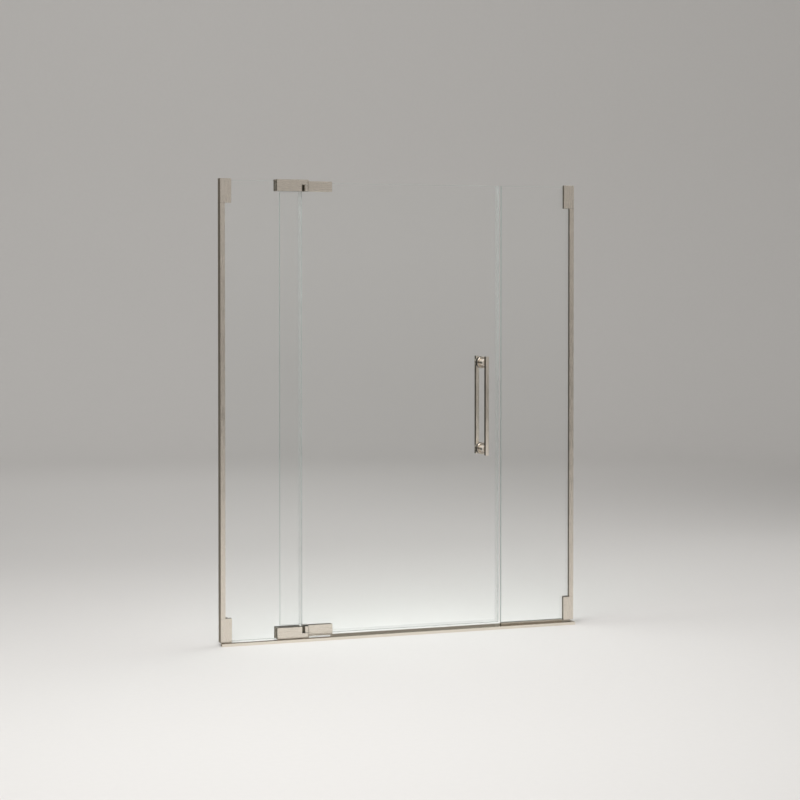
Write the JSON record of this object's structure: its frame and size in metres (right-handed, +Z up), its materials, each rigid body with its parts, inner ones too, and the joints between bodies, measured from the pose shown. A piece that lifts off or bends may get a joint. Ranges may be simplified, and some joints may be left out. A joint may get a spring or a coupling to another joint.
{
  "type": "pivot shower door",
  "caption": "Frameless glass pivot door for a shower alcove, hung between fixed side panels on corner knuckle hinges, with wall clamps, slim jambs, a low sill and a bar pull on both faces.",
  "frame": {"origin": "underside of the sill, mid width, below the middle plane of the two fixed panels", "axes": "+Z up; +X to the right as seen from the bathroom; +Y into the shower"},
  "size_m": [1.518, 0.1305, 1.839],
  "materials": {
    "brushed_nickel": "fine brushed, satin, slightly warm nickel plating",
    "clear_glass": "clear tempered glass with faintly green ground edges",
    "clear_vinyl": "clear extruded vinyl",
    "gasket_rubber": "matt dark gasket",
    "sleeve_plastic": "natural nylon",
    "bearing_plastic": "natural acetal",
    "fastener_steel": "plain stainless steel"
  },
  "bodies": {
    "frame": {"clamp_body_lower_left": "brushed_nickel", "clamp_body_lower_right": "brushed_nickel", "clamp_body_upper_left": "brushed_nickel", "clamp_body_upper_right": "brushed_nickel", "clamp_bolts": "fastener_steel", "clamp_cover_lower_left": "brushed_nickel", "clamp_cover_lower_right": "brushed_nickel", "clamp_cover_upper_left": "brushed_nickel", "clamp_cover_upper_right": "brushed_nickel", "clamp_pads_lower_left": "gasket_rubber", "clamp_pads_lower_right": "gasket_rubber", "clamp_pads_upper_left": "gasket_rubber", "clamp_pads_upper_right": "gasket_rubber", "fixed_glass_left": "clear_glass", "fixed_glass_right": "clear_glass", "glazing_strip_left": "clear_vinyl", "glazing_strip_right": "clear_vinyl", "hinge_back_plate_lower": "brushed_nickel", "hinge_back_plate_upper": "brushed_nickel", "hinge_bolts": "fastener_steel", "hinge_front_plate_lower": "brushed_nickel", "hinge_front_plate_upper": "brushed_nickel", "hinge_pads_lower": "gasket_rubber", "hinge_pads_upper": "gasket_rubber", "jamb_gasket_left": "gasket_rubber", "jamb_gasket_right": "gasket_rubber", "panel_bolt_sleeves": "sleeve_plastic", "panel_edge_seal": "clear_vinyl", "pin_lock_screws": "fastener_steel", "pivot_pin_lower": "fastener_steel", "pivot_pin_upper": "fastener_steel", "sill": "brushed_nickel", "support_rail": "brushed_nickel", "wall_jamb_left": "brushed_nickel", "wall_jamb_right": "brushed_nickel"},
    "door": {"door_back_plate_lower": "brushed_nickel", "door_back_plate_upper": "brushed_nickel", "door_bolt_sleeves": "sleeve_plastic", "door_front_plate_lower": "brushed_nickel", "door_front_plate_upper": "brushed_nickel", "door_glass": "clear_glass", "door_hinge_bolts": "fastener_steel", "door_pads_lower": "gasket_rubber", "door_pads_upper": "gasket_rubber", "door_sweep": "clear_vinyl", "handle_bar_inner": "brushed_nickel", "handle_bar_outer": "brushed_nickel", "handle_lock_screws": "fastener_steel", "handle_posts_inner": "brushed_nickel", "handle_posts_outer": "brushed_nickel", "handle_rosette_pads": "clear_vinyl", "handle_rosettes": "brushed_nickel", "handle_stud_sleeves": "sleeve_plastic", "handle_studs": "fastener_steel", "pivot_bushing_lower": "bearing_plastic", "pivot_bushing_upper": "bearing_plastic", "strike_seal": "clear_vinyl", "thrust_washer_lower": "bearing_plastic", "thrust_washer_upper": "bearing_plastic"}
  },
  "joints": [
    {"name": "door_pivot", "type": "hinge", "parent": "frame", "child": "door", "pos_m": [-0.4045, -0.0115, 0.9255], "axis": [0, 0, -1], "range_deg": [0, 95]}
  ]
}
